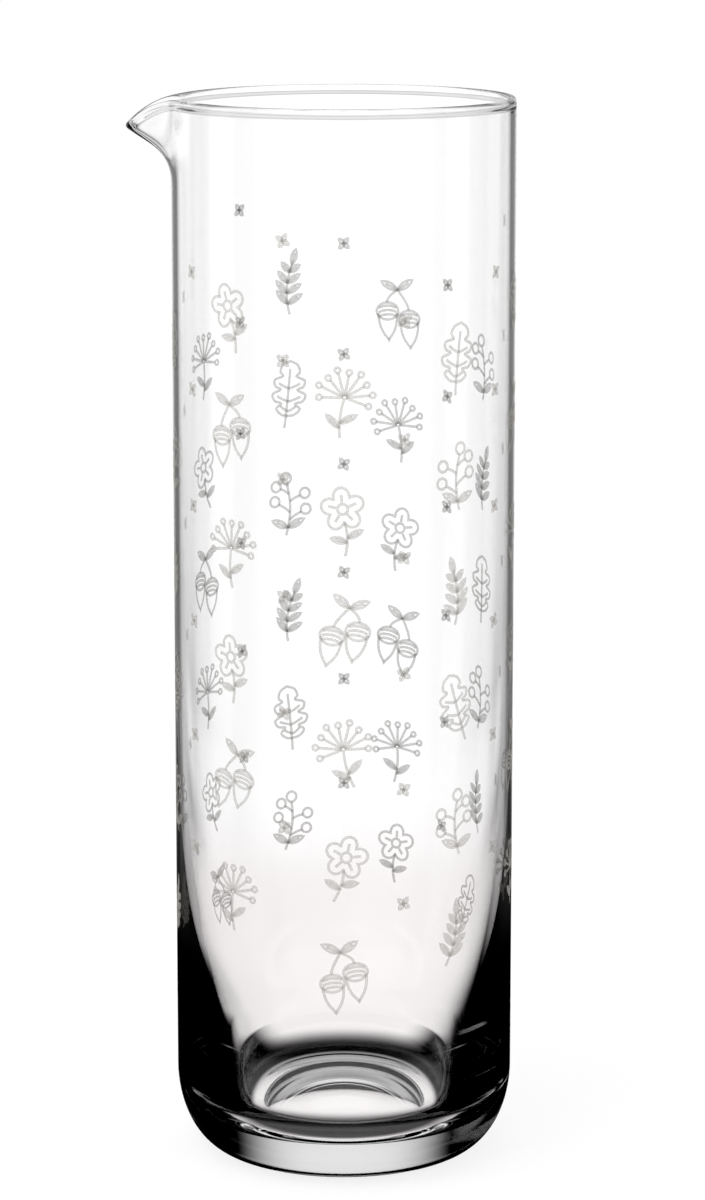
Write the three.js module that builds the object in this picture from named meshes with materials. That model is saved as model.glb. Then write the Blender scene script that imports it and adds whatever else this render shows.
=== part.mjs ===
// A tall straight carafe in one piece of clear glass: a heavy foot, a wall that thins towards the rim,
// a rounded rim and a pouring lip that is pulled out of the wall towards -X.
// Millimetres, +Z up. The origin lies on the plane that the foot stands on, under the middle of the
// overall length, so the axis of the round body stands a little to the +X side of it.
import * as THREE from 'three';
import { mergeVertices } from 'three/addons/utils/BufferGeometryUtils.js';

// Outside of the body
const RIM_HEIGHT = 270;
const BODY_RADIUS = 43;
const HEEL_REACH = 13.4; // how far the rounded heel draws in from the wall to the foot
const HEEL_HEIGHT = 21.5;

// Underside: a flat ring that the foot stands on, round a wide dish
const STANDING_RING = 5; // width of the flat ring
const DISH_DEPTH = 4.2;

// Inside of the body
const UPPER_WALL = 1.5;
const TAPER_TOP = 168; // the wall is even above this height and thickens below it
const TAPER_MIDDLE = 57.8; // height of the handles that shape the thickening
const MIDDLE_WALL = 4.6;
const BOWL_WALL = 12.4; // wall where the inside turns into the round bowl
const FLOOR_HEIGHT = 9.2;
const BOWL_HEIGHT = 9.4; // from the floor to where the bowl starts
const FLOOR_RADIUS = 10; // flat part of the floor

// Rim: a rounded bead, a little thicker than the wall, on the inner side
const BEAD_THICKNESS = 2;
const BEAD_FADE = 5; // height over which the bead runs out into the wall

// Pouring lip: the wall's last stretch turns outwards and sinks, most of all on the lip's middle line
const LIP_LENGTH = 23.2;
const LIP_EDGE = 3.3; // straight stretch of the lip, between the end of its turn and its edge
const LIP_TURN = THREE.MathUtils.degToRad(55.5);
const LIP_SINK = 2.7;
const LIP_HALF_WIDTH = 6.8; // along the rim, where the turn has fallen to about a third

// Facets
const ROUND_SEGMENTS = 84;
const CROWDING = 0.6; // how much closer the facets lie at the lip, from 0 to 1
const HEEL_STEPS = 8;
const DISH_STEPS = 6;
const WALL_STEPS = 3;
const LIP_STEPS = 10;
const BEAD_STEPS = 6;
const TAPER_STEPS = 12;
const BOWL_STEPS = 8;
const TURN_STEPS = 24; // short steps in which the turning wall is walked
const MERGE_DISTANCE = 0.001;

const footRadius = BODY_RADIUS - HEEL_REACH;
const dishRadius = footRadius - STANDING_RING;
const innerRadius = BODY_RADIUS - UPPER_WALL;
const lipStart = RIM_HEIGHT - LIP_LENGTH;
const beadRadius = BEAD_THICKNESS / 2;
const beadHeight = RIM_HEIGHT - beadRadius;
const beadEnd = beadHeight - BEAD_FADE;

// A straight stretch of the section
function straight(fromRadius, fromHeight, toRadius, toHeight) {
  return new THREE.LineCurve(
    new THREE.Vector2(fromRadius, fromHeight),
    new THREE.Vector2(toRadius, toHeight),
  );
}

// The underside's dish, a round hollow from the axis to the standing ring
function dishCurve() {
  const sphereRadius = (dishRadius ** 2 + DISH_DEPTH ** 2) / (2 * DISH_DEPTH);
  const halfAngle = Math.asin(dishRadius / sphereRadius);
  const centreHeight = DISH_DEPTH - sphereRadius;
  const top = Math.PI / 2;
  return new THREE.EllipseCurve(
    0, centreHeight, sphereRadius, sphereRadius, top, top - halfAngle, true,
  );
}

// The heel, a quarter of an ellipse from the foot to the straight wall
function heelCurve() {
  return new THREE.EllipseCurve(
    footRadius, HEEL_HEIGHT, HEEL_REACH, HEEL_HEIGHT, -Math.PI / 2, 0,
  );
}

// The rim's rounded bead, half a circle over the top of the wall
function beadCurve() {
  return new THREE.EllipseCurve(
    BODY_RADIUS - beadRadius, beadHeight, beadRadius, beadRadius, 0, Math.PI,
  );
}

// The inner wall below the bead, from the bead's full thickness to the even wall
function beadFadeCurve() {
  const beadInner = BODY_RADIUS - BEAD_THICKNESS;
  const middle = (beadHeight + beadEnd) / 2;
  return new THREE.CubicBezierCurve(
    new THREE.Vector2(beadInner, beadHeight),
    new THREE.Vector2(beadInner, middle),
    new THREE.Vector2(innerRadius, middle),
    new THREE.Vector2(innerRadius, beadEnd),
  );
}

// The inner wall where it thickens towards the foot, and the round bowl down to the floor
function bowlCurves() {
  const handle = new THREE.Vector2(BODY_RADIUS - MIDDLE_WALL, TAPER_MIDDLE);
  const end = new THREE.Vector2(BODY_RADIUS - BOWL_WALL, FLOOR_HEIGHT + BOWL_HEIGHT);
  const lean = (handle.x - end.x) / (handle.y - end.y);
  const corner = new THREE.Vector2(end.x - lean * BOWL_HEIGHT, FLOOR_HEIGHT);
  const taper = new THREE.CubicBezierCurve(
    new THREE.Vector2(innerRadius, TAPER_TOP),
    new THREE.Vector2(innerRadius, TAPER_MIDDLE),
    handle,
    end,
  );
  const round = new THREE.QuadraticBezierCurve(
    end,
    corner,
    new THREE.Vector2(FLOOR_RADIUS, FLOOR_HEIGHT),
  );
  return [taper, round];
}

// Half of the carafe's section, from the axis under the foot, up the outside, over the rim and down
// the inside to the axis on the floor
function sectionPoints() {
  const [taper, round] = bowlCurves();
  const stretches = [
    [dishCurve(), DISH_STEPS],
    [straight(dishRadius, 0, footRadius, 0), 1],
    [heelCurve(), HEEL_STEPS],
    [straight(BODY_RADIUS, HEEL_HEIGHT, BODY_RADIUS, lipStart), WALL_STEPS],
    [straight(BODY_RADIUS, lipStart, BODY_RADIUS, beadHeight), LIP_STEPS],
    [beadCurve(), BEAD_STEPS],
    [beadFadeCurve(), BEAD_STEPS],
    [straight(innerRadius, beadEnd, innerRadius, lipStart), LIP_STEPS],
    [straight(innerRadius, lipStart, innerRadius, TAPER_TOP), WALL_STEPS],
    [taper, TAPER_STEPS],
    [round, BOWL_STEPS],
    [straight(FLOOR_RADIUS, FLOOR_HEIGHT, 0, FLOOR_HEIGHT), 1],
  ];
  const points = [new THREE.Vector2(0, DISH_DEPTH)];
  for (const [curve, steps] of stretches) {
    points.push(...curve.getPoints(steps).slice(1));
  }
  points[points.length - 1].x = 0;
  return points;
}

// The share of the lip's turn that the wall has made at a height: 0 at the lip's start, 1 at its edge
function turnShare(height) {
  return THREE.MathUtils.smoothstep(height, lipStart, RIM_HEIGHT - LIP_EDGE);
}

// Where a point of the straight wall goes when its stretch of wall turns outwards. The wall is walked
// from the lip's start in short steps, and the point keeps its depth square to the turned wall.
function turnOutwards(radius, height, fullTurn) {
  const step = (height - lipStart) / TURN_STEPS;
  let out = BODY_RADIUS;
  let up = lipStart;
  for (let i = 0; i < TURN_STEPS; i += 1) {
    const turn = fullTurn * turnShare(lipStart + (i + 0.5) * step);
    out += step * Math.sin(turn);
    up += step * Math.cos(turn);
  }
  const depth = BODY_RADIUS - radius;
  const turn = fullTurn * turnShare(height);
  return { radius: out - depth * Math.cos(turn), height: up + depth * Math.sin(turn) };
}

// Pull the lip out of a round carafe: every point above the lip's start moves by its height and by how
// far round the rim it lies from the lip's middle line
function pullLip(geometry) {
  const position = geometry.getAttribute('position');
  for (let i = 0; i < position.count; i += 1) {
    const x = position.getX(i);
    const y = position.getY(i);
    const evenAngle = Math.atan2(y, -x);
    const angle = evenAngle - CROWDING * Math.sin(evenAngle);
    const alongRim = angle * BODY_RADIUS;
    const pull = Math.exp(-((alongRim / LIP_HALF_WIDTH) ** 2));
    let radius = Math.hypot(x, y);
    let height = position.getZ(i);
    if (height > lipStart) {
      const sink = LIP_SINK * pull * turnShare(height);
      ({ radius, height } = turnOutwards(radius, height, LIP_TURN * pull));
      height -= sink;
    }
    position.setXYZ(i, -radius * Math.cos(angle), radius * Math.sin(angle), height);
  }
}

// One closed skin with shared vertices, without the facets that shrink to a line on the axis
function closedSkin(geometry) {
  geometry.deleteAttribute('normal');
  geometry.deleteAttribute('uv');
  const skin = mergeVertices(geometry, MERGE_DISTANCE);
  const corners = skin.getIndex().array;
  const kept = [];
  for (let i = 0; i < corners.length; i += 3) {
    const [a, b, c] = corners.subarray(i, i + 3);
    if (a !== b && b !== c && c !== a) {
      kept.push(a, b, c);
    }
  }
  skin.setIndex(kept);
  skin.computeVertexNormals();
  return skin;
}

function glassBody() {
  const geometry = new THREE.LatheGeometry(sectionPoints(), ROUND_SEGMENTS);
  geometry.rotateX(Math.PI / 2);
  pullLip(geometry);
  const clearGlass = new THREE.MeshStandardMaterial({
    color: 0xf3f5f5,
    roughness: 0.03,
    metalness: 0,
    transparent: true,
    opacity: 0.35,
  });
  const mesh = new THREE.Mesh(closedSkin(geometry), clearGlass);
  mesh.name = 'glass_body';
  return mesh;
}

// Stand the carafe over the origin, with the middle of its overall length on it
const carafe = new THREE.Group();
carafe.add(glassBody());
const middle = new THREE.Box3().setFromObject(carafe).getCenter(new THREE.Vector3());
carafe.position.x = -middle.x;

export default carafe;
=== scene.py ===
"""Looks of a one-piece glass carafe: smooth clear glass, fine matt lines, a pale floor and studio light."""

import logging
import math
from collections.abc import Sequence
from dataclasses import dataclass, field
from enum import Enum

import bpy
import numpy as np
from mathutils import Euler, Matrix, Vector


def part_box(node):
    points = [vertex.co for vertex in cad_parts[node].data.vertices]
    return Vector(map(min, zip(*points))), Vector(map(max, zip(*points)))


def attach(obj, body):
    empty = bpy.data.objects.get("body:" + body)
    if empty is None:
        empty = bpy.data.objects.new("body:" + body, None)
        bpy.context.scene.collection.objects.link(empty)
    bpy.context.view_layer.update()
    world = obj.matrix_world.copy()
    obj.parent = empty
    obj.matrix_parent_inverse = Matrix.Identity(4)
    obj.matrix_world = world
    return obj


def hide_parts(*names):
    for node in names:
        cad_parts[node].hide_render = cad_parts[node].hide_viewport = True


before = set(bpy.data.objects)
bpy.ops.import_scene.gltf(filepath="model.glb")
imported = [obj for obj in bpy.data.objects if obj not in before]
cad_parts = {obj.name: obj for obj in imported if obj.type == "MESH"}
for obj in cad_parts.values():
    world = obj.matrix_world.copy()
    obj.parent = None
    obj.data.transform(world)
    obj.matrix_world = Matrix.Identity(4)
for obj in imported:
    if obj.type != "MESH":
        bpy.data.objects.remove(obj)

LOG = logging.getLogger("carafe")
MM = 0.001
TINY = 1e-6
GLASS_NODE = "glass_body"
BODY = "root"

Points = np.ndarray
Spot = tuple[float, float] | np.ndarray
Line = tuple[Points, bool]
Pair = tuple[float, float]
Triple = tuple[float, float, float]
Colour = tuple[float, float, float, float]
Setting = object
TreeInputs = dict[str, tuple[str, Setting]]

WHITE: Colour = (1.0, 1.0, 1.0, 1.0)


class Wire:
    """One output socket of a node, with arithmetic that adds Math nodes to its tree."""

    def __init__(self, graph: "NodeGraph", socket: bpy.types.NodeSocket) -> None:
        """Wrap a socket of the graph's tree."""
        self.graph = graph
        self.socket = socket

    def math(self, operation: str, *others: "Wire | float") -> "Wire":
        """Add a Math node that takes this value first.

        Args:
            operation: the Math node's operation.
            others: the values or wires of its further inputs.

        Returns:
            The node's result.
        """
        sockets = dict(enumerate((self, *others)))
        return self.graph.add("ShaderNodeMath", {"operation": operation}, sockets)

    def __add__(self, other: "Wire | float") -> "Wire":
        """Return this value plus the other."""
        return self.math("ADD", other)

    __radd__ = __add__

    def __mul__(self, other: "Wire | float") -> "Wire":
        """Return this value times the other."""
        return self.math("MULTIPLY", other)

    __rmul__ = __mul__

    def __sub__(self, other: "Wire | float") -> "Wire":
        """Return this value less the other."""
        return self.math("SUBTRACT", other)

    def __rsub__(self, other: float) -> "Wire":
        """Return a number less this value."""
        return self * -1.0 + other

    def __truediv__(self, other: "Wire | float") -> "Wire":
        """Return this value divided by the other."""
        return self.math("DIVIDE", other)

    def __mod__(self, other: "Wire | float") -> "Wire":
        """Return this value's floored remainder by the other."""
        return self.math("FLOORED_MODULO", other)

    def floor(self) -> "Wire":
        """Return the whole number at or under this value."""
        return self.math("FLOOR")

    def either(self, other: "Wire | float") -> "Wire":
        """Return the larger of the two values."""
        return self.math("MAXIMUM", other)

    def ease(self, low: float, high: float) -> "Wire":
        """Return a smooth step from 0 at low to 1 at high."""
        settings = {"interpolation_type": "SMOOTHSTEP"}
        return self.graph.add("ShaderNodeMapRange", settings, {"Value": self, 1: low, 2: high})


class NodeGraph:
    """A node tree that is filled by one method."""

    def __init__(self, tree: bpy.types.NodeTree) -> None:
        """Empty the tree, so that only the nodes added here are in it."""
        self.tree = tree
        tree.nodes.clear()

    def add(
        self,
        kind: str,
        settings: dict[str, Setting] | None = None,
        sockets: dict[str | int, Setting] | None = None,
        out: str | int = 0,
    ) -> Wire | None:
        """Add one node with its settings, values and links.

        Args:
            kind: the node's type.
            settings: the node's own properties, which are set first.
            sockets: for each input, by name or place, a wire to link or a value to set.
            out: the output to return, by name or place.

        Returns:
            That output as a wire, or None on a node without outputs.
        """
        node = self.tree.nodes.new(kind)
        for name, value in (settings or {}).items():
            setattr(node, name, value)
        for key, value in (sockets or {}).items():
            if isinstance(value, Wire):
                self.tree.links.new(value.socket, node.inputs[key])
            else:
                node.inputs[key].default_value = value
        return Wire(self, node.outputs[out]) if len(node.outputs) else None

    def outputs(self, wire: Wire, *names: str) -> list[Wire]:
        """Return further outputs of a wire's node, by name."""
        return [Wire(self, wire.socket.node.outputs[name]) for name in names]


def new_material(name: str) -> tuple[bpy.types.Material, NodeGraph]:
    """Make a material with an empty node tree.

    Args:
        name: the material's name.

    Returns:
        The material, and the graph that fills its tree.
    """
    material = bpy.data.materials.new(name)
    material.use_nodes = True
    return material, NodeGraph(material.node_tree)


def new_mesh_object(name: str, vertices: Points, faces: Sequence[Sequence[int]]) -> bpy.types.Object:
    """Link a smooth mesh object into the scene.

    Args:
        name: the piece's name.
        vertices: its points, in metres in the frame.
        faces: the corners of each face.

    Returns:
        The new object, at the origin.
    """
    mesh = bpy.data.meshes.new(name)
    mesh.from_pydata(vertices.tolist(), [], faces)
    mesh.shade_smooth()
    piece = bpy.data.objects.new(name, mesh)
    bpy.context.scene.collection.objects.link(piece)
    return piece


@dataclass(frozen=True)
class ClearGlass:
    """Polished clear glass, with the faint waves of a blown wall."""

    name: str = "clear_glass"
    tint: Colour = WHITE
    index: float = 1.5
    roughness: float = 0.0
    wave_size: float = 26 * MM
    wave_height: float = 0.004 * MM
    wave_detail: float = 1.0

    def material(self) -> bpy.types.Material:
        """Mix the glass.

        Returns:
            The new material.
        """
        material, graph = new_material(self.name)
        place = graph.add("ShaderNodeTexCoord", out="Object")
        waves = graph.add(
            "ShaderNodeTexNoise",
            sockets={"Vector": place, "Scale": 1 / self.wave_size, "Detail": self.wave_detail},
        )
        bump = graph.add("ShaderNodeBump", sockets={"Distance": self.wave_height, "Height": waves})
        glass = graph.add(
            "ShaderNodeBsdfPrincipled",
            sockets={
                "Base Color": self.tint,
                "Roughness": self.roughness,
                "IOR": self.index,
                "Transmission Weight": 1.0,
                "Normal": bump,
            },
        )
        graph.add("ShaderNodeOutputMaterial", sockets={"Surface": glass})
        return material


@dataclass(frozen=True)
class MattLine:
    """The pale grey matt line of the decoration, which lets some light through."""

    name: str = "etched_line"
    pale: Colour = (0.72, 0.69, 0.64, 1.0)
    dark: Colour = (0.5, 0.475, 0.44, 1.0)
    roughness: float = 0.65
    cover: float = 0.3
    mottle_size: float = 9 * MM
    mottle_detail: float = 3.0

    def material(self) -> bpy.types.Material:
        """Mix the line's finish.

        Returns:
            The new material.
        """
        material, graph = new_material(self.name)
        place = graph.add("ShaderNodeTexCoord", out="Object")
        mottle = graph.add(
            "ShaderNodeTexNoise",
            sockets={"Vector": place, "Scale": 1 / self.mottle_size, "Detail": self.mottle_detail},
        )
        tone = graph.add(
            "ShaderNodeMix", {"data_type": "RGBA"}, {0: mottle, 6: self.dark, 7: self.pale}, out=2
        )
        line = graph.add(
            "ShaderNodeBsdfPrincipled",
            sockets={"Base Color": tone, "Roughness": self.roughness, "Alpha": self.cover},
        )
        graph.add("ShaderNodeOutputMaterial", sockets={"Surface": line})
        return material


def bezier(corners: Sequence[Spot], steps: int) -> Points:
    """Return points along a Bezier curve of any degree.

    Args:
        corners: its control points.
        steps: how many steps the curve is cut into.

    Returns:
        One row for each point, ends included.
    """
    share = np.linspace(0.0, 1.0, steps + 1)[:, None]
    rows = [np.asarray(corner, float) + 0 * share for corner in corners]
    while len(rows) > 1:
        rows = [(1 - share) * a + share * b for a, b in zip(rows, rows[1:])]
    return rows[0]


def oval(centre: Spot, radii: Pair, start: float, end: float, steps: int) -> Points:
    """Return points along an upright ellipse.

    Args:
        centre: its middle.
        radii: its half-width and half-height.
        start: the first point's angle, in degrees from the right, counted up over the top.
        end: the last point's angle.
        steps: how many steps the stretch is cut into.

    Returns:
        One row for each point, ends included.
    """
    angle = np.radians(np.linspace(start, end, steps + 1))
    return np.column_stack([centre[0] + radii[0] * np.cos(angle), centre[1] + radii[1] * np.sin(angle)])


def smooth_step(value: Points, low: float, high: float) -> Points:
    """Return a smooth step from 0 at low to 1 at high."""
    share = np.clip((value - low) / (high - low), 0.0, 1.0)
    return share * share * (3 - 2 * share)


@dataclass
class PouringLip:
    """The lip: the wall's last stretch turns outwards and sinks, most of all on the lip's middle line."""

    wall_radius: float
    rim_height: float
    length: float = 23.2 * MM
    edge: float = 3.3 * MM
    turn: float = math.radians(55.5)
    sink: float = 2.7 * MM
    half_width: float = 6.8 * MM
    walk_steps: int = 32
    nudge: Pair = (0.01 * MM, 1e-5)

    @property
    def start(self) -> float:
        """Height at which the wall starts to turn."""
        return self.rim_height - self.length

    def turned_share(self, height: Points) -> Points:
        """Return how much of the turn the wall has made at each height."""
        return smooth_step(height, self.start, self.rim_height - self.edge)

    def skin(self, height: Points, angle: Points) -> Points:
        """Return where the pulled wall has points of the carafe's outer skin.

        Args:
            height: each point's height on a round carafe.
            angle: how far round from the lip's middle line each point lies, in radians.

        Returns:
            The points' places, with the axis at x = 0 and the lip towards -X.
        """
        share = np.exp(-((angle * self.wall_radius / self.half_width) ** 2))
        run = np.maximum(height - self.start, 0.0)
        out = np.zeros_like(run)
        up = np.zeros_like(run)
        for step in range(self.walk_steps):
            walked = self.start + run * (step + 0.5) / self.walk_steps
            turn = self.turn * share * self.turned_share(walked)
            out += np.sin(turn) * run / self.walk_steps
            up += np.cos(turn) * run / self.walk_steps
        radius = self.wall_radius + out
        sunk = height - run + up - self.sink * share * self.turned_share(height)
        return np.stack([-radius * np.cos(angle), -radius * np.sin(angle), sunk], -1)

    def pull(self, radius: Points, height: Points, angle: Points) -> Points:
        """Move points of a round carafe to where the pulled wall, as thick as before, has them.

        Args:
            radius: each point's distance from the axis.
            height: each point's height.
            angle: how far round from the lip's middle line each point lies, in radians.

        Returns:
            The points' new places, with the axis at x = 0.
        """
        rise, swing = self.nudge
        along = self.skin(height + rise, angle) - self.skin(height - rise, angle)
        around = self.skin(height, angle + swing) - self.skin(height, angle - swing)
        outwards = np.cross(around, along)
        outwards /= np.linalg.norm(outwards, axis=-1, keepdims=True)
        depth = self.wall_radius - radius
        return self.skin(height, angle) - depth[..., None] * outwards


@dataclass
class GlassBody:
    """The carafe's one piece of glass: foot, heavy base, wall, rim bead and lip."""

    axis: float
    radius: float
    rim_height: float
    lip: PouringLip
    finish: ClearGlass = field(default_factory=ClearGlass)
    name: str = "carafe_glass"
    heel_reach: float = 13.4 * MM
    heel_height: float = 21.5 * MM
    standing_ring: float = 5 * MM
    dish_depth: float = 4.2 * MM
    upper_wall: float = 1.5 * MM
    taper_top: float = 168 * MM
    taper_middle: float = 57.8 * MM
    middle_wall: float = 4.6 * MM
    bowl_wall: float = 12.4 * MM
    floor_height: float = 9.2 * MM
    bowl_height: float = 9.4 * MM
    floor_radius: float = 10 * MM
    bead_thickness: float = 2 * MM
    bead_fade: float = 2 * MM
    segments: int = 224
    crowding: float = 0.5

    def section(self) -> Points:
        """Draw half of the section, from the axis under the foot, over the rim, to the axis on the floor.

        Returns:
            The radius and the height of each point.
        """
        foot = self.radius - self.heel_reach
        inner = self.radius - self.upper_wall
        bead = self.bead_thickness / 2
        bead_height = self.rim_height - bead
        bead_inner = self.radius - self.bead_thickness
        bead_middle = bead_height - self.bead_fade / 2
        dish = foot - self.standing_ring
        sphere = (dish**2 + self.dish_depth**2) / (2 * self.dish_depth)
        dish_angle = math.degrees(math.asin(dish / sphere))
        heel_top = (self.radius, self.heel_height)
        lip_outside = (self.radius, self.lip.start)
        bead_outside = (self.radius, bead_height)
        bead_inside = (bead_inner, bead_height)
        bead_end = (inner, bead_height - self.bead_fade)
        lip_inside = (inner, self.lip.start)
        taper_top = (inner, self.taper_top)
        taper_end = (self.radius - self.middle_wall, self.taper_middle)
        bowl = (self.radius - self.bowl_wall, self.floor_height + self.bowl_height)
        lean = (taper_end[0] - bowl[0]) / (taper_end[1] - bowl[1])
        corner = (bowl[0] - lean * self.bowl_height, self.floor_height)
        floor_edge = (self.floor_radius, self.floor_height)
        stretches = [
            oval((0, self.dish_depth - sphere), (sphere, sphere), start=90, end=90 - dish_angle, steps=20),
            bezier([(dish, 0), (foot, 0)], steps=6),
            oval((foot, self.heel_height), (self.heel_reach, self.heel_height), start=-90, end=0, steps=36),
            bezier([heel_top, lip_outside], steps=24),
            bezier([lip_outside, bead_outside], steps=32),
            oval((self.radius - bead, bead_height), (bead, bead), start=0, end=180, steps=16),
            bezier([bead_inside, (bead_inner, bead_middle), (inner, bead_middle), bead_end], steps=10),
            bezier([bead_end, lip_inside], steps=28),
            bezier([lip_inside, taper_top], steps=10),
            bezier([taper_top, (inner, self.taper_middle), taper_end, bowl], steps=48),
            bezier([bowl, corner, floor_edge], steps=32),
            bezier([floor_edge, (0, self.floor_height)], steps=6),
        ]
        return np.vstack([stretches[0]] + [stretch[1:] for stretch in stretches[1:]])

    def build(self) -> bpy.types.Object:
        """Turn the section round the axis, pull the lip and close both poles.

        Returns:
            The glass as a mesh object.
        """
        section = self.section()
        rings = section[1:-1]
        even = np.linspace(0, 2 * np.pi, self.segments, endpoint=False)
        angle = (even - self.crowding * np.sin(even) + np.pi) % (2 * np.pi) - np.pi
        radius, height = (np.repeat(column[:, None], self.segments, 1) for column in rings.T)
        skin = self.lip.pull(radius, height, np.repeat(angle[None], len(rings), 0))
        poles = [(0, 0, section[0, 1]), (0, 0, section[-1, 1])]
        points = np.vstack([skin.reshape(-1, 3), poles]) + (self.axis, 0, 0)
        return new_mesh_object(self.name, points, self.faces(len(rings)))

    def faces(self, rings: int) -> list[tuple[int, ...]]:
        """Return the skin's faces, pointing outwards.

        Args:
            rings: how many rings of points the skin has.

        Returns:
            The corners of each face, the two poles' triangles last.
        """
        around = self.segments
        faces = []
        for ring in range(rings - 1):
            for i in range(around):
                a = ring * around + i
                b = ring * around + (i + 1) % around
                faces.append((a, b, b + around, a + around))
        under = rings * around
        last = (rings - 1) * around
        for i in range(around):
            j = (i + 1) % around
            faces.append((under, j, i))
            faces.append((under + 1, last + i, last + j))
        return faces

    def dress(self, piece: bpy.types.Object) -> None:
        """Give the glass its finish and put it in the frame in place of the CAD node.

        Args:
            piece: the glass, as built.
        """
        piece.data.materials.append(self.finish.material())
        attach(piece, BODY)
        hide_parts(GLASS_NODE)


# A leaf is widest at its belly, and its midrib ends before the tip. Both are shares of its length.
LEAF_BELLY = 0.45
LEAF_RIB = 0.72
LEAF_STEPS = 7
# A rounded line leaves a point along its two neighbours, by their distance divided by this.
ROUNDING = 6.0


def closed(points: Points) -> Line:
    """Return a closed line without its doubled last point."""
    return points[:-1], True


def way(angle: float) -> Points:
    """Return the unit vector at an angle in degrees, counted from the right."""
    turn = math.radians(angle)
    return np.array([math.cos(turn), math.sin(turn)])


def leaf(base: Spot, angle: float, length: float, width: float) -> list[Line]:
    """Draw a pointed leaf with its midrib.

    Args:
        base: where the leaf grows from.
        angle: its direction in degrees, counted from the right.
        length: from base to tip.
        width: across its middle.

    Returns:
        The outline and the midrib.
    """
    along = way(angle)
    across = np.array([-along[1], along[0]])
    start = np.asarray(base, float)
    tip = start + along * length
    belly = start + along * length * LEAF_BELLY
    there = bezier([start, belly + across * width, tip], LEAF_STEPS)
    back = bezier([tip, belly - across * width, start], LEAF_STEPS)
    rib = bezier([start, start + along * length * LEAF_RIB], 2)
    return [closed(np.vstack([there, back[1:]])), (rib, False)]


def rounded(corners: Sequence[Spot], steps: int) -> Points:
    """Return a smooth line through a row of points.

    Args:
        corners: the points that it passes.
        steps: how many steps lie between two of them.

    Returns:
        One row for each point, ends included.
    """
    ends = np.array([corners[0], *corners, corners[-1]], float)
    line = [ends[:1]]
    for before, start, end, after in zip(ends, ends[1:], ends[2:], ends[3:]):
        leave = start + (end - before) / ROUNDING
        arrive = end - (after - start) / ROUNDING
        line.append(bezier([start, leave, arrive, end], steps)[1:])
    return np.vstack(line)


def ring(centre: Spot, radius: float, steps: int = 12) -> Line:
    """Draw a small circle."""
    return closed(oval(centre, (radius, radius), 0, 360, steps))


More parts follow.
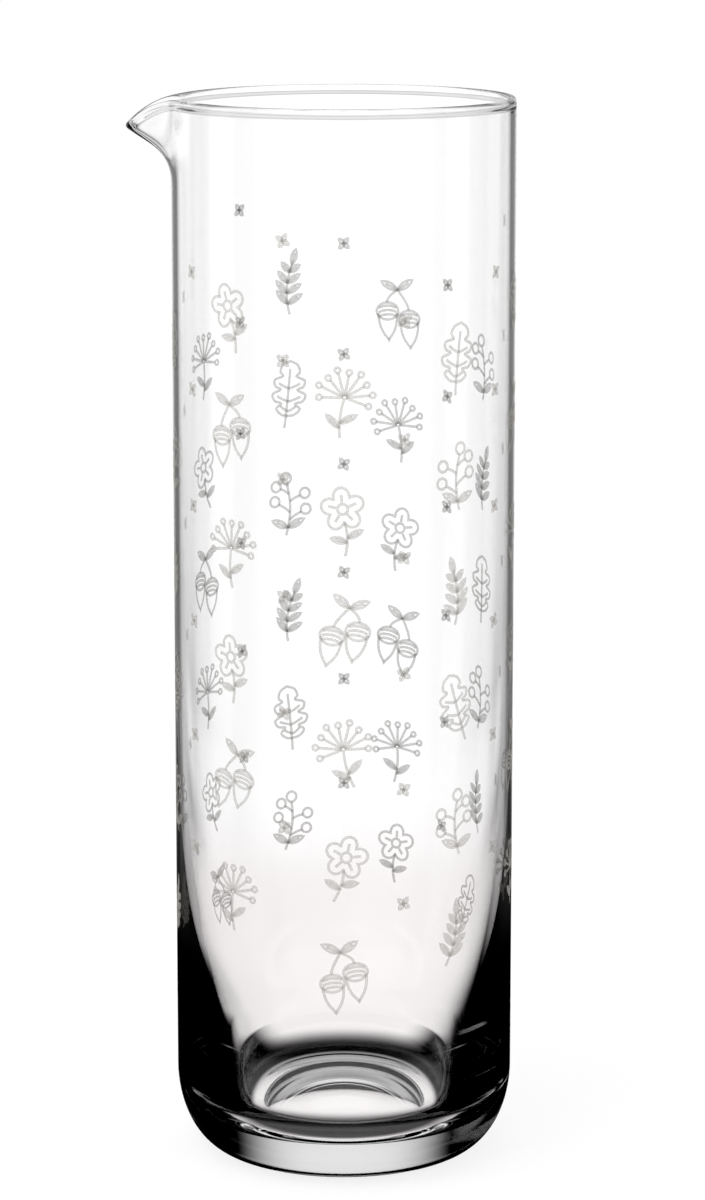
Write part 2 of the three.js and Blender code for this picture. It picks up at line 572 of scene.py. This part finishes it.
class Motif(Enum):
    """The plants that the decoration repeats, and the small filler between them."""

    SPRIG = "sprig"
    ACORN = "acorn"
    LOBED_LEAF = "lobed_leaf"
    BLOSSOM = "blossom"
    BERRY_TWIG = "berry_twig"
    SEED_HEAD = "seed_head"
    FILLER = "filler"

    def lines(self) -> list[Line]:
        """Return the motif's lines in millimetres, round its own middle."""
        return getattr(self, "_" + self.value)()

    @staticmethod
    def _sprig() -> list[Line]:
        """Draw a bent stem with paired leaves.

        Returns:
            Its lines.
        """
        stem = bezier([(-1.5, -10), (1.5, -3), (-0.5, 5)], 14)
        lines = [(stem, False)] + leaf((-0.5, 5), 100, 5, 1.7)
        for at, length in ((3, 5.6), (6, 5.4), (9, 4.8), (12, 4.0)):
            for side in (42, 142):
                lines += leaf(stem[at], side, length, 1.6)
        return lines

    @staticmethod
    def _acorn() -> list[Line]:
        """Draw two acorns on a twig.

        Returns:
            Their lines.
        """
        lines: list[Line] = []
        twig = (0, 8.5)
        for x, y in ((-3.4, -1.0), (3.6, 1.6)):
            nut = bezier([(x - 3, y), (x - 3, y - 6.5), (x, y - 7), (x, y - 8.6)], 10)
            other = nut[::-1] * (-1, 1) + (2 * x, 0)
            lines.append((np.vstack([nut, other[1:]]), False))
            lines.append(closed(oval((x, y + 0.6), (3.5, 2.6), 0, 360, 24)))
            for drop in (-0.7, 0.6, 1.9):
                lines.append((oval((x, y + drop - 0.8), (3.0, 1.1), 20, 160, 8), False))
            lines.append((bezier([(x, y + 3.2), (x, y + 5), twig], 8), False))
        return lines + leaf(twig, 28, 6, 1.9) + leaf(twig, 150, 6, 1.9)

    @staticmethod
    def _lobed_leaf() -> list[Line]:
        """Draw a broad leaf with round lobes and side veins.

        Returns:
            Its lines.
        """
        lobes = [(0, -7.4), (2.2, -7.0), (3.9, -5.2), (2.2, -3.6), (4.6, -2.9), (5.4, -0.8), (2.7, 0.6)]
        lobes += [(4.6, 1.6), (4.9, 3.6), (2.2, 4.7), (3.2, 6.0), (2.4, 8.2), (0, 9.4)]
        right = rounded(lobes, 4)
        outline = np.vstack([right, right[-2:0:-1] * (-1, 1)])
        lines: list[Line] = [(outline, True), (bezier([(0.8, -11.2), (0.3, -7), (0, 7)], 8), False)]
        for height, reach in ((-6.0, 2.6), (-3.0, 3.9), (1.0, 3.5)):
            for end in (-reach, reach):
                vein = [(0, height), (end * 0.5, height + 0.5), (end, height + 1.6)]
                lines.append((bezier(vein, 5), False))
        return lines

    @staticmethod
    def _blossom() -> list[Line]:
        """Draw a flower with five petals on a short stalk.

        Returns:
            Its lines.
        """
        petals = 5
        middle = np.array([0.0, 3.0])
        angle = np.linspace(0, 2 * np.pi, 81)
        reach = 3.6 + 2.6 * np.abs(np.cos(petals / 2 * (angle - np.pi / 2))) ** 0.8
        outline = middle + np.column_stack([reach * np.cos(angle), reach * np.sin(angle)])
        lines: list[Line] = [closed(outline), ring(middle, 1.5)]
        for petal in range(petals):
            along = way(90 + 360 / petals * petal)
            lines.append((bezier([middle + along * 1.9, middle + along * 4.2], 2), False))
        stalk = bezier([(0, -0.6), (1.2, -5), (-0.8, -10.5)], 8)
        leaves = leaf(stalk[4], 20, 5, 1.6) + leaf(stalk[5], 160, 5, 1.6)
        return lines + [(stalk, False)] + leaves

    @staticmethod
    def _berry_twig() -> list[Line]:
        """Draw a twig with round berries and a pair of leaves.

        Returns:
            Its lines.
        """
        stem = bezier([(1.2, -10.5), (-1.6, -2), (0.8, 5.5)], 14)
        lines: list[Line] = [(stem, False), ring(stem[-1] + (0.2, 1.7), 1.7)]
        for at, angle, length in ((4, 150, 4.6), (6, 35, 4.6), (9, 155, 3.8), (11, 30, 3.4)):
            along = way(angle)
            end = stem[at] + along * length
            lines.append((bezier([stem[at], stem[at] + along * length * 0.5 + (0, 0.5), end], 4), False))
            lines.append(ring(end + along * 1.6, 1.6))
        return lines + leaf(stem[2], 25, 6, 1.9) + leaf(stem[2], 155, 6, 1.9)

    @staticmethod
    def _seed_head() -> list[Line]:
        """Draw a round seed head with dots on fine rays.

        Returns:
            Its lines.
        """
        dot = 0.8
        middle = np.array([0.0, 1.0])
        stalk = bezier([(0.8, -10.5), (-0.8, -5), (0, 1)], 8)
        lines: list[Line] = [(stalk, False)]
        for ray, angle in enumerate(range(-10, 191, 25)):
            along = way(angle)
            length = 6.4 + 0.8 * (ray % 2)
            lines.append((bezier([middle + along * 0.4, middle + along * length], 2), False))
            lines.append(ring(middle + along * (length + dot), dot, 8))
        return lines + leaf(stalk[3], 35, 5.5, 1.5) + leaf(stalk[2], 145, 5.5, 1.5)

    @staticmethod
    def _filler() -> list[Line]:
        """Draw a tiny flower with four petals.

        Returns:
            Its lines.
        """
        lines: list[Line] = []
        for angle in (45, 135, 225, 315):
            lines += leaf((0, 0), angle, 2.1, 1.0)[:1]
        return lines

    def curve(self) -> bpy.types.Object:
        """Draw the motif as a curve.

        Returns:
            A flat curve object, in metres.
        """
        data = bpy.data.curves.new("motif_" + self.value, "CURVE")
        data.dimensions = "3D"
        for points, cyclic in self.lines():
            spline = data.splines.new("POLY")
            spline.points.add(len(points) - 1)
            flat = np.column_stack([points * MM, np.zeros(len(points)), np.ones(len(points))])
            spline.points.foreach_set("co", flat.ravel())
            spline.use_cyclic_u = cyclic
        return bpy.data.objects.new(data.name, data)


@dataclass
class LineDecoration:
    """Fine lines on the wall: plants on a third-drop grid, with small fillers between them."""

    axis: float
    wall_radius: float
    finish: MattLine = field(default_factory=MattLine)
    name: str = "line_decoration"
    columns: int = 9
    rows: int = 6
    first_row: float = 55 * MM
    row_pitch: float = 29 * MM
    motif_scale: float = 0.86
    line_width: float = 0.72 * MM
    line_height: float = 0.06 * MM
    sunk: float = 0.02 * MM
    lean: float = 0.3
    seed: int = 4
    drop_columns: float = 3.0
    row_pick: float = 2.0
    column_pick: float = 5.0
    plant_shift: Pair = (0.0, 0.0)
    filler_shift: Pair = (0.5, 0.66)

    def motif_collection(self, name: str, motifs: Sequence[Motif]) -> bpy.types.Collection:
        """Put the curves of some motifs in a collection of their own, outside the scene.

        Args:
            name: the collection's name.
            motifs: the motifs to draw.

        Returns:
            The collection.
        """
        collection = bpy.data.collections.new(name)
        for motif in motifs:
            collection.objects.link(motif.curve())
        return collection

    def inputs(self) -> TreeInputs:
        """List the named inputs of the tree.

        Returns:
            For each input's label, the kind of its socket and the value that it gets.
        """
        plants = [motif for motif in Motif if motif is not Motif.FILLER]
        return {
            "Plants": ("NodeSocketCollection", self.motif_collection("wall_plants", plants)),
            "Fillers": ("NodeSocketCollection", self.motif_collection("wall_fillers", [Motif.FILLER])),
            "Columns": ("NodeSocketInt", self.columns),
            "Rows": ("NodeSocketInt", self.rows),
            "First Row": ("NodeSocketFloat", self.first_row),
            "Row Pitch": ("NodeSocketFloat", self.row_pitch),
            "Motif Scale": ("NodeSocketFloat", self.motif_scale),
            "Wall Radius": ("NodeSocketFloat", self.wall_radius),
            "Axis": ("NodeSocketFloat", self.axis),
            "Line Width": ("NodeSocketFloat", self.line_width),
            "Line Height": ("NodeSocketFloat", self.line_height),
            "Sunk": ("NodeSocketFloat", self.sunk),
            "Lean": ("NodeSocketFloat", self.lean),
            "Seed": ("NodeSocketInt", self.seed),
            "Finish": ("NodeSocketMaterial", self.finish.material()),
        }

    def tree(self, inputs: TreeInputs) -> tuple[bpy.types.NodeTree, dict[str, str]]:
        """Build the tree that repeats the motifs and wraps their lines round the wall.

        Args:
            inputs: the tree's named inputs.

        Returns:
            The tree, and the identifier of each of its named inputs.
        """
        tree = bpy.data.node_groups.new("wall_lines", "GeometryNodeTree")
        graph = NodeGraph(tree)
        found = {}
        for label, (kind, _) in inputs.items():
            found[label] = tree.interface.new_socket(label, in_out="INPUT", socket_type=kind).identifier
        tree.interface.new_socket("Geometry", in_out="OUTPUT", socket_type="NodeSocketGeometry")
        first = graph.add("NodeGroupInput")
        ask = dict(zip(inputs, graph.outputs(first, *inputs)))
        plants = self.scatter(graph, ask, ask["Plants"], self.plant_shift, len(Motif) - 1)
        fillers = self.scatter(graph, ask, ask["Fillers"], self.filler_shift, 1)
        both = graph.add("GeometryNodeJoinGeometry", sockets={0: plants})
        tree.links.new(fillers.socket, both.socket.node.inputs[0])
        flat = graph.add("GeometryNodeRealizeInstances", sockets={"Geometry": both})
        upright = graph.add("GeometryNodeSetCurveNormal", {"mode": "Z_UP"}, {"Curve": flat})
        band = graph.add(
            "GeometryNodeCurvePrimitiveQuadrilateral",
            {"mode": "RECTANGLE"},
            {0: ask["Line Width"], 1: ask["Line Height"]},
        )
        lines = graph.add(
            "GeometryNodeCurveToMesh",
            sockets={"Curve": upright, "Profile Curve": band, "Fill Caps": True},
        )
        wrapped = graph.add(
            "GeometryNodeSetPosition", sockets={"Geometry": lines, "Position": self.wrap(graph, ask)}
        )
        whole = graph.add("GeometryNodeRealizeInstances", sockets={"Geometry": wrapped})
        dressed = graph.add(
            "GeometryNodeSetMaterial", sockets={"Geometry": whole, "Material": ask["Finish"]}
        )
        graph.add("NodeGroupOutput", sockets={"Geometry": dressed})
        return tree, found

    def scatter(
        self, graph: NodeGraph, ask: dict[str, Wire], motifs: Wire, shift: Pair, kinds: int
    ) -> Wire:
        """Set one motif on each point of a third-drop grid on the flat, unrolled wall.

        Args:
            graph: the tree's graph.
            ask: the tree's inputs.
            motifs: the collection to pick from.
            shift: how many column pitches the grid is moved across by, and how many row pitches up.
            kinds: how many motifs the collection holds.

        Returns:
            The instances.
        """
        index = graph.add("GeometryNodeInputIndex")
        column = (index / ask["Rows"]).floor()
        row = index % ask["Rows"]
        across = (column + shift[0]) * (ask["Wall Radius"] * (2 * math.pi)) / ask["Columns"]
        drop = (column % self.drop_columns) / self.drop_columns
        up = ask["First Row"] + (row + drop + shift[1]) * ask["Row Pitch"]
        place = graph.add("ShaderNodeCombineXYZ", sockets={"X": across, "Y": up})
        points = graph.add(
            "GeometryNodePoints", sockets={"Count": ask["Columns"] * ask["Rows"], "Position": place}
        )
        lean = graph.add(
            "FunctionNodeRandomValue",
            {"data_type": "FLOAT"},
            {2: ask["Lean"] * -1.0, 3: ask["Lean"], "Seed": ask["Seed"]},
            out=1,
        )
        turned = graph.add("ShaderNodeCombineXYZ", sockets={"Z": lean})
        pick = (row * self.row_pick + column * self.column_pick) % float(kinds)
        chosen = graph.add(
            "GeometryNodeCollectionInfo",
            sockets={"Collection": motifs, "Separate Children": True, "Reset Children": True},
        )
        return graph.add(
            "GeometryNodeInstanceOnPoints",
            sockets={
                "Points": points,
                "Instance": chosen,
                "Pick Instance": True,
                "Instance Index": pick,
                "Rotation": turned,
                "Scale": ask["Motif Scale"],
            },
        )

    def wrap(self, graph: NodeGraph, ask: dict[str, Wire]) -> Wire:
        """Return each point's place on the round wall, from its place on the unrolled one.

        Args:
            graph: the tree's graph.
            ask: the tree's inputs.

        Returns:
            The new position.
        """
        place = graph.add("GeometryNodeInputPosition")
        apart = graph.add("ShaderNodeSeparateXYZ", sockets={"Vector": place})
        across, up, lift = graph.outputs(apart, "X", "Y", "Z")
        angle = across / ask["Wall Radius"]
        radius = ask["Wall Radius"] + lift + ask["Line Height"] * 0.5 - ask["Sunk"]
        x = ask["Axis"] + radius * angle.math("SINE")
        y = radius * angle.math("COSINE") * -1.0
        return graph.add("ShaderNodeCombineXYZ", sockets={"X": x, "Y": y, "Z": up})

    def build(self) -> bpy.types.Object:
        """Run the tree and keep its result as a plain mesh.

        Returns:
            The lines as one mesh object.
        """
        inputs = self.inputs()
        tree, found = self.tree(inputs)
        maker = bpy.data.objects.new("wall_line_maker", bpy.data.meshes.new("wall_line_maker"))
        bpy.context.scene.collection.objects.link(maker)
        modifier = maker.modifiers.new("lines", "NODES")
        modifier.node_group = tree
        for label, (_, value) in inputs.items():
            modifier[found[label]] = value
        ready = maker.evaluated_get(bpy.context.evaluated_depsgraph_get())
        mesh = bpy.data.meshes.new_from_object(ready)
        mesh.name = self.name
        bpy.data.objects.remove(maker)
        piece = bpy.data.objects.new(self.name, mesh)
        bpy.context.scene.collection.objects.link(piece)
        return piece

    def dress(self, piece: bpy.types.Object) -> None:
        """Put the lines, which hold their finish already, in the frame."""
        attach(piece, BODY)


class Bearing:
    """A direction, or a place on the floor, as seen from above from the carafe's axis."""

    def __init__(self, x: Wire, y: Wire) -> None:
        """Keep the two parts and work out the length, which is never 0.

        Args:
            x: the part along X.
            y: the part along Y.
        """
        self.x = x
        self.y = y
        self.reach = (x * x + y * y).math("SQRT") + TINY


@dataclass(frozen=True)
class BrightPanel:
    """One bright panel of the studio, as seen from the carafe through its glass, or a wedge of painted
    light on the floor in its direction.

    Attributes:
        towards: its direction in degrees, counted from straight behind towards -X.
        full: how many degrees to either side are fully bright.
        fade: over how many further degrees it fades out.
        level: its brightness.
    """

    towards: float
    full: float
    fade: float
    level: float = 1.0

    def share(self, place: Bearing) -> Wire:
        """Return the panel's level in its directions and 0 beside it.

        Args:
            place: the direction, or the place on the floor.

        Returns:
            The level, with a soft edge.
        """
        turn = math.radians(self.towards)
        near = (place.x * -math.sin(turn) + place.y * math.cos(turn)) / place.reach
        outer = math.cos(math.radians(self.full + self.fade))
        return near.ease(outer, math.cos(math.radians(self.full))) * self.level


@dataclass
class Studio:
    """White floor and backdrop, a soft lamp, the panels that the glass sees, and the camera.

    The panels are bright behind the glass, with dark gaps between them. To the glass, the floor glows with
    painted light: wedges of light in the panels' directions, a painted shadow round the foot, and painted
    light and shade under the foot's hollow. Light that was reflected inside the glass finds a dimmer floor,
    a painted shade which keeps the thick wall dark. A start or an end in the sky is the sine of its
    elevation, and a reach on the floor is the distance from the axis.
    """

    axis: float
    backdrop: BrightPanel = BrightPanel(0, 4, 19)
    high_backdrop: BrightPanel = BrightPanel(0, 0, 34, 0.75)
    # Wedges of painted light on the floor round the carafe, which only the glass sees.
    middle_floor_light: BrightPanel = BrightPanel(0, 16, 10)
    near_floor_light: BrightPanel = BrightPanel(0, 32, 36)
    near_side_lights: tuple[BrightPanel, ...] = (
        BrightPanel(45, 10, 12, 0.85),
        BrightPanel(90, 25, 20),
        BrightPanel(-135, 30, 25),
    )
    close_floor_light: BrightPanel = BrightPanel(0, 24, 20)
    other_panels: tuple[BrightPanel, ...] = (
        BrightPanel(45, 5, 10, 0.95),
        BrightPanel(-45, 5, 10, 0.7),
        BrightPanel(90, 5, 10),
        BrightPanel(180, 45, 25),
    )
    side_panel: BrightPanel = BrightPanel(97, 10, 12, 0.5)
    high_start: Pair = (0.0, 0.15)
    high_end: Pair = (0.45, 0.6)
    low_end: Pair = (0.02, 0.08)
    side_start: Pair = (0.22, 0.3)
    top_start: Pair = (0.72, 0.86)
    top_level: float = 0.45
    gap_level: float = 0.2
    panel_level: float = 1.12
    near_level: float = 0.93
    # Tint of the painted light on the floor near the carafe.
    near_light_tint: Colour = (1.0, 0.965, 0.967, 1.0)
    ambient_level: float = 0.8
    floor_size: float = 8.0
    floor_drop: float = 0.05 * MM
    floor_shade: float = 0.25
    floor_white: float = 1.09
    floor_colour: Colour = (0.95, 0.95, 0.95, 1.0)
    # Painted shadow on the floor round the foot, which only the glass sees.
    foot_shadow: Pair = (38 * MM, 52 * MM)
    close_reach: Pair = (60 * MM, 66 * MM)
    # Painted light under the foot's hollow, with painted shade towards the front, which only the glass
    # sees.
    hollow_light: Pair = (28 * MM, 32 * MM)
    hollow_shade: Pair = (-18 * MM, 2 * MM)
    hollow_level: float = 0.06
    near_reach: Pair = (170 * MM, 320 * MM)
    middle_reach: Pair = (350 * MM, 800 * MM)
    # Painted shade on the floor for light mirrored by the glass, on its outside and inside it.
    mirror_reach: Pair = (200 * MM, 600 * MM)
    fold_reach: Pair = (70 * MM, 110 * MM)
    fold_fade: Pair = (300 * MM, 2000 * MM)
    fold_level: float = 0.65
    lamp_place: Triple = (-0.5, -0.5, 1.4)
    lamp_aim: Triple = (0.0, 0.0, 0.1)
    lamp_size: float = 0.9
    lamp_power: float = 6.0
    camera_distance: float = 1040 * MM
    camera_height: float = 347.4 * MM
    camera_tilt: float = math.radians(11.133)
    camera_turn: float = math.radians(-0.12)
    focal_pixels: float = 4178.0
    photo_height: float = 1200.0
    sensor: float = 36.0

    def together(self, panels: Sequence[BrightPanel], place: Bearing) -> Wire:
        """Join several panels.

        Args:
            panels: the panels.
            place: the direction, or the place on the floor.

        Returns:
            The level of the brightest one there.
        """
        bright = panels[0].share(place)
        for panel in panels[1:]:
            bright = bright.either(panel.share(place))
        return bright

    def rays(self, graph: NodeGraph) -> tuple[Wire, Wire, Wire]:
        """Tell the rays apart.

        Args:
            graph: the graph of the world or of a material.

        Returns:
            Whether a ray comes from the camera, through glass, and from either glass or gloss.
        """
        camera = graph.add("ShaderNodeLightPath", out="Is Camera Ray")
        gloss, through = graph.outputs(camera, "Is Glossy Ray", "Is Transmission Ray")
        return camera, through, gloss.either(through)

    def world(self) -> None:
        """Light the scene: white to the camera, panels to the glass, an even level to matt surfaces."""
        world = bpy.data.worlds.new("studio")
        world.use_nodes = True
        bpy.context.scene.world = world
        graph = NodeGraph(world.node_tree)
        way_out = graph.add("ShaderNodeTexCoord", out="Generated")
        apart = graph.add("ShaderNodeSeparateXYZ", sockets={"Vector": way_out})
        x, y, z = graph.outputs(apart, "X", "Y", "Z")
        place = Bearing(x, y)
        high = z.ease(*self.high_start)
        high_back = self.high_backdrop.share(place) * high * (1 - z.ease(*self.high_end))
        back = (self.backdrop.share(place) * (1 - high)).either(high_back)
        low = self.together(self.other_panels, place) * (1 - z.ease(*self.low_end))
        side = self.side_panel.share(place) * z.ease(*self.side_start)
        top = z.ease(*self.top_start) * self.top_level
        level = back.either(low).either(side).either(top) * self.panel_level
        camera, _, glass = self.rays(graph)
        other = glass * level + (1 - glass) * self.ambient_level
        shine = graph.add(
            "ShaderNodeBackground", sockets={"Color": WHITE, "Strength": camera + (1 - camera) * other}
        )
        graph.add("ShaderNodeOutputWorld", sockets={"Surface": shine})

    def near_light(self, place: Bearing) -> Wire:
        """Paint light on the floor round the foot, with a painted shadow next to the foot.

        Args:
            place: the place on the floor.

        Returns:
            How bright the glass sees it.
        """
        # Painted shadow round the foot: the floor stays dark close to the foot behind it, and further out
        # to its sides.
        close = self.close_floor_light.share(place) * place.reach.ease(*self.foot_shadow)
        near = self.together((self.near_floor_light, *self.near_side_lights), place)
        near = near * place.reach.ease(*self.close_reach)
        return near.either(close) * self.near_level

    def far_light(self, place: Bearing) -> Wire:
        """Paint light on the floor further off: wedges in the panels' directions, dimmer in the gaps.

        Args:
            place: the place on the floor.

        Returns:
            How bright the glass sees it.
        """
        back = self.together((self.backdrop, *self.other_panels), place)
        middle = self.middle_floor_light.share(place) * (1 - place.reach.ease(*self.middle_reach))
        return back.either(middle).either(self.gap_level)

    def kept(self, graph: NodeGraph, place: Bearing, through: Wire) -> Wire:
        """Paint shade on the floor for light that was mirrored by the glass, on its outside or inside it.

        Args:
            graph: the floor's graph.
            place: the place on the floor.
            through: whether the light comes through the glass.

        Returns:
            The share of the floor's light that is kept.
        """
        outside = through.either(place.reach.ease(*self.mirror_reach))
        folds = graph.add("ShaderNodeLightPath", out="Glossy Depth")
        folded = self.fold_level + (1 - self.fold_level) * place.reach.ease(*self.fold_fade)
        inside = (1 - folds).either(folded * place.reach.ease(*self.fold_reach))
        return outside * inside

    def floor(self) -> None:
        """Lay the floor: white with a soft shadow to the camera; to the glass it glows with painted light
        and shadow, in panels and gaps.
        """
        square = np.array([(-1, -1, 0), (1, -1, 0), (1, 1, 0), (-1, 1, 0)]) * (self.floor_size / 2)
        floor = new_mesh_object("floor", square - (0, 0, self.floor_drop), [(0, 1, 2, 3)])
        material, graph = new_material("white_floor")
        spot = graph.add("ShaderNodeTexCoord", out="Object")
        apart = graph.add("ShaderNodeSeparateXYZ", sockets={"Vector": spot})
        x, y = graph.outputs(apart, "X", "Y")
        place = Bearing(x - self.axis, y)
        far = place.reach.ease(*self.near_reach)
        around = far * self.far_light(place) + (1 - far) * self.near_light(place)
        # Painted light on the floor under the foot's hollow, brighter behind the axis, with painted shade
        # towards the front.
        hollow = y.ease(*self.hollow_shade).either(self.hollow_level)
        hollow = hollow * (1 - place.reach.ease(*self.hollow_light))
        _, through, glass = self.rays(graph)
        seen = (around * self.kept(graph, place, through)).either(hollow) * self.panel_level
        # The painted light near the carafe is tinted, further off it is white.
        tint = graph.add(
            "ShaderNodeMix", {"data_type": "RGBA"}, {0: far, 6: self.near_light_tint, 7: WHITE}, out=2
        )
        # Painted light and shadow, which only glass and gloss rays see.
        glow = graph.add("ShaderNodeEmission", sockets={"Color": tint, "Strength": seen})
        white = graph.add("ShaderNodeEmission", sockets={"Strength": self.floor_white})
        matt = graph.add("ShaderNodeBsdfDiffuse", sockets={"Color": self.floor_colour})
        shaded = graph.add("ShaderNodeMixShader", sockets={0: self.floor_shade, 1: white, 2: matt})
        look = graph.add("ShaderNodeMixShader", sockets={0: glass, 1: shaded, 2: glow})
        graph.add("ShaderNodeOutputMaterial", sockets={"Surface": look})
        floor.data.materials.append(material)

    def lamp(self) -> None:
        """Hang a soft square lamp, which only matt surfaces see."""
        data = bpy.data.lights.new("soft_top", "AREA")
        data.size = self.lamp_size
        data.energy = self.lamp_power
        lamp = bpy.data.objects.new("soft_top", data)
        lamp.location = self.lamp_place
        down = Vector(self.lamp_aim) - Vector(self.lamp_place)
        lamp.rotation_euler = down.to_track_quat("-Z", "Y").to_euler()
        lamp.visible_camera = False
        lamp.visible_glossy = False
        lamp.visible_transmission = False
        bpy.context.scene.collection.objects.link(lamp)

    def camera(self) -> None:
        """Set the camera where the photograph was taken from."""
        data = bpy.data.cameras.new("photo_camera")
        data.sensor_width = self.sensor
        data.lens = self.focal_pixels / self.photo_height * self.sensor
        camera = bpy.data.objects.new("photo_camera", data)
        camera.location = (self.axis, -self.camera_distance, self.camera_height)
        camera.rotation_euler = Euler((math.pi / 2 - self.camera_tilt, 0, self.camera_turn))
        bpy.context.scene.collection.objects.link(camera)
        bpy.context.scene.camera = camera

    def build(self) -> None:
        """Make the floor, the light and the camera."""
        self.world()
        self.floor()
        self.lamp()
        self.camera()
        bpy.context.scene.view_settings.view_transform = "Standard"


def log_piece(piece: bpy.types.Object) -> None:
    """Report a finished piece."""
    LOG.info("%s: %d faces", piece.name, len(piece.data.polygons))


def main() -> None:
    """Build the studio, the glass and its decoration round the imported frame."""
    logging.basicConfig(level=logging.INFO, format="%(message)s")
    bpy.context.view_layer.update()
    low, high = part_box(GLASS_NODE)
    radius = (high.y - low.y) / 2
    axis = high.x - radius
    Studio(axis).build()
    body = GlassBody(axis, radius, high.z, PouringLip(radius, high.z))
    glass = body.build()
    body.dress(glass)
    log_piece(glass)
    decoration = LineDecoration(axis, radius)
    lines = decoration.build()
    decoration.dress(lines)
    log_piece(lines)


if __name__ == "__main__":
    main()
